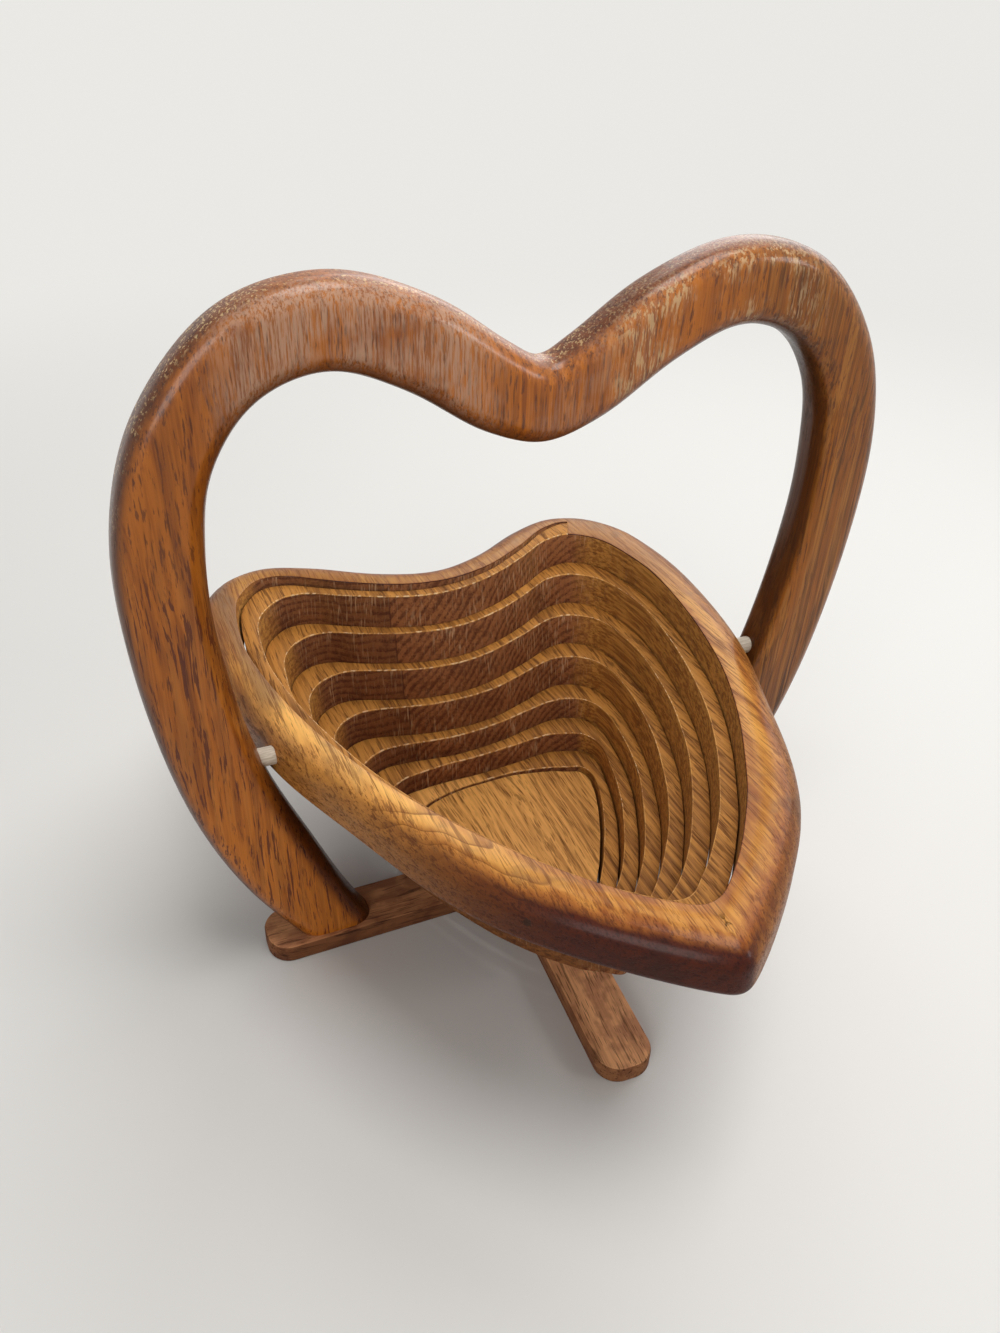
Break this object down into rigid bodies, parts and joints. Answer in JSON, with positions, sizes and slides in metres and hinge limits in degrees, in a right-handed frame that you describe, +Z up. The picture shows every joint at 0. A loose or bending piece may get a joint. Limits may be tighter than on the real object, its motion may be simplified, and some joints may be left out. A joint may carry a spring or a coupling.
{
  "type": "collapsible wooden basket",
  "caption": "Collapsible heart-shaped wooden basket: a spiral-sawn bowl hung on pins inside a heart handle that stands on crossed slats.",
  "frame": {"origin": "on the floor under the stand, straight below the middle of the pivot pins' axis", "axes": "+X along the handle and the pivot pins, +Y toward the basket's cleft, +Z up"},
  "size_m": [0.2904, 0.298, 0.2756],
  "materials": {
    "handle_wood": "satin varnish",
    "basket_wood": "satin varnish",
    "slat_wood": "bare",
    "pin_wood": "bare"
  },
  "bodies": {
    "stand": {"long_slat": "slat_wood", "cross_slat": "slat_wood"},
    "handle": {"handle": "handle_wood", "pin_left": "pin_wood", "pin_right": "pin_wood"},
    "rim": {"rim": "basket_wood"},
    "spiral_01": {"spiral_01": "basket_wood"},
    "spiral_02": {"spiral_02": "basket_wood"},
    "spiral_03": {"spiral_03": "basket_wood"},
    "spiral_04": {"spiral_04": "basket_wood"},
    "spiral_05": {"spiral_05": "basket_wood"},
    "spiral_06": {"spiral_06": "basket_wood"},
    "spiral_07": {"spiral_07": "basket_wood"},
    "spiral_08": {"spiral_08": "basket_wood"},
    "spiral_09": {"spiral_09": "basket_wood"},
    "spiral_10": {"spiral_10": "basket_wood"},
    "spiral_11": {"spiral_11": "basket_wood"},
    "spiral_12": {"spiral_12": "basket_wood"},
    "base": {"base": "basket_wood"}
  },
  "joints": [
    {"name": "handle_lift", "type": "slide", "parent": "stand", "child": "handle", "axis": [0, 0, 1], "range_m": [0, 0.0755]},
    {"name": "basket_fold", "type": "hinge", "parent": "handle", "child": "rim", "pos_m": [0, 0, 0.103], "axis": [1, 0, 0], "range_deg": [0, 94]},
    {"name": "spiral_01_drop", "type": "slide", "parent": "rim", "child": "spiral_01", "axis": [0, 0.0698, 0.9976], "range_m": [0, 0.00497]},
    {"name": "spiral_02_drop", "type": "slide", "parent": "spiral_01", "child": "spiral_02", "axis": [0, 0.0698, 0.9976], "range_m": [0, 0.00877]},
    {"name": "spiral_03_drop", "type": "slide", "parent": "spiral_02", "child": "spiral_03", "axis": [0, 0.0698, 0.9976], "range_m": [0, 0.0076]},
    {"name": "spiral_04_drop", "type": "slide", "parent": "spiral_03", "child": "spiral_04", "axis": [0, 0.0698, 0.9976], "range_m": [0, 0.0076]},
    {"name": "spiral_05_drop", "type": "slide", "parent": "spiral_04", "child": "spiral_05", "axis": [0, 0.0698, 0.9976], "range_m": [0, 0.0076]},
    {"name": "spiral_06_drop", "type": "slide", "parent": "spiral_05", "child": "spiral_06", "axis": [0, 0.0698, 0.9976], "range_m": [0, 0.0076]},
    {"name": "spiral_07_drop", "type": "slide", "parent": "spiral_06", "child": "spiral_07", "axis": [0, 0.0698, 0.9976], "range_m": [0, 0.0076]},
    {"name": "spiral_08_drop", "type": "slide", "parent": "spiral_07", "child": "spiral_08", "axis": [0, 0.0698, 0.9976], "range_m": [0, 0.0076]},
    {"name": "spiral_09_drop", "type": "slide", "parent": "spiral_08", "child": "spiral_09", "axis": [0, 0.0698, 0.9976], "range_m": [0, 0.00613]},
    {"name": "spiral_10_drop", "type": "slide", "parent": "spiral_09", "child": "spiral_10", "axis": [0, 0.0698, 0.9976], "range_m": [0, 0.00465]},
    {"name": "spiral_11_drop", "type": "slide", "parent": "spiral_10", "child": "spiral_11", "axis": [0, 0.0698, 0.9976], "range_m": [0, 0.00465]},
    {"name": "spiral_12_drop", "type": "slide", "parent": "spiral_11", "child": "spiral_12", "axis": [0, 0.0698, 0.9976], "range_m": [0, 0.00465]},
    {"name": "base_drop", "type": "slide", "parent": "spiral_12", "child": "base", "axis": [0, 0.0698, 0.9976], "range_m": [0, 0.00233]}
  ],
  "couplings": [
    {"joint": "handle_lift", "follows": "basket_fold", "m_per_rad": 0.046},
    {"joint": "spiral_01_drop", "follows": "basket_fold", "m_per_rad": 0.0030289},
    {"joint": "spiral_02_drop", "follows": "basket_fold", "m_per_rad": 0.0053451},
    {"joint": "spiral_03_drop", "follows": "basket_fold", "m_per_rad": 0.0046324},
    {"joint": "spiral_04_drop", "follows": "basket_fold", "m_per_rad": 0.0046324},
    {"joint": "spiral_05_drop", "follows": "basket_fold", "m_per_rad": 0.0046324},
    {"joint": "spiral_06_drop", "follows": "basket_fold", "m_per_rad": 0.0046324},
    {"joint": "spiral_07_drop", "follows": "basket_fold", "m_per_rad": 0.0046324},
    {"joint": "spiral_08_drop", "follows": "basket_fold", "m_per_rad": 0.0046324},
    {"joint": "spiral_09_drop", "follows": "basket_fold", "m_per_rad": 0.003733},
    {"joint": "spiral_10_drop", "follows": "basket_fold", "m_per_rad": 0.0028336},
    {"joint": "spiral_11_drop", "follows": "basket_fold", "m_per_rad": 0.0028336},
    {"joint": "spiral_12_drop", "follows": "basket_fold", "m_per_rad": 0.0028336},
    {"joint": "base_drop", "follows": "basket_fold", "m_per_rad": 0.0014168}
  ]
}
